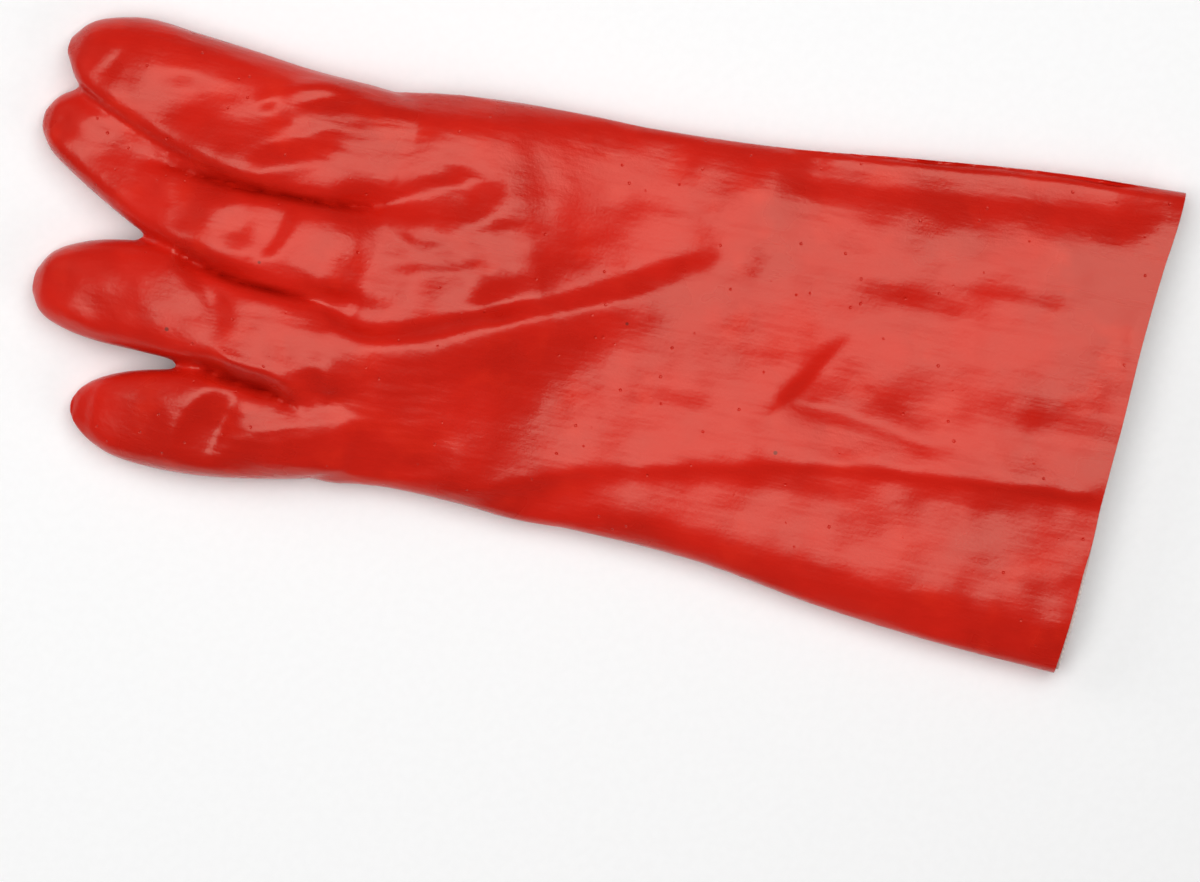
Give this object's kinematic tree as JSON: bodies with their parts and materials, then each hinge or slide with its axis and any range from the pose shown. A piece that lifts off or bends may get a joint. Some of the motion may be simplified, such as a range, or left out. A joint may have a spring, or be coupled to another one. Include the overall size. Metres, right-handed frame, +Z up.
{
  "type": "pvc coated work glove",
  "caption": "Left-hand PVC coated gauntlet glove lying palm down: hollow gauntlet, palm and finger stalls in one dipped skin, thumb folded under, cotton lining showing at the open cuff.",
  "frame": {"origin": "middle of the outline seen from above, on the surface that the glove lies on", "axes": "+X from the fingers towards the cuff, +Y to the index side, +Z up out of the back of the hand"},
  "size_m": [0.3558, 0.156, 0.0312],
  "materials": {
    "coating": "smooth dipped red PVC, glossy",
    "lining": "off-white cotton jersey"
  },
  "bodies": {
    "root": {"shell": "coating", "liner": "lining"}
  },
  "joints": []
}
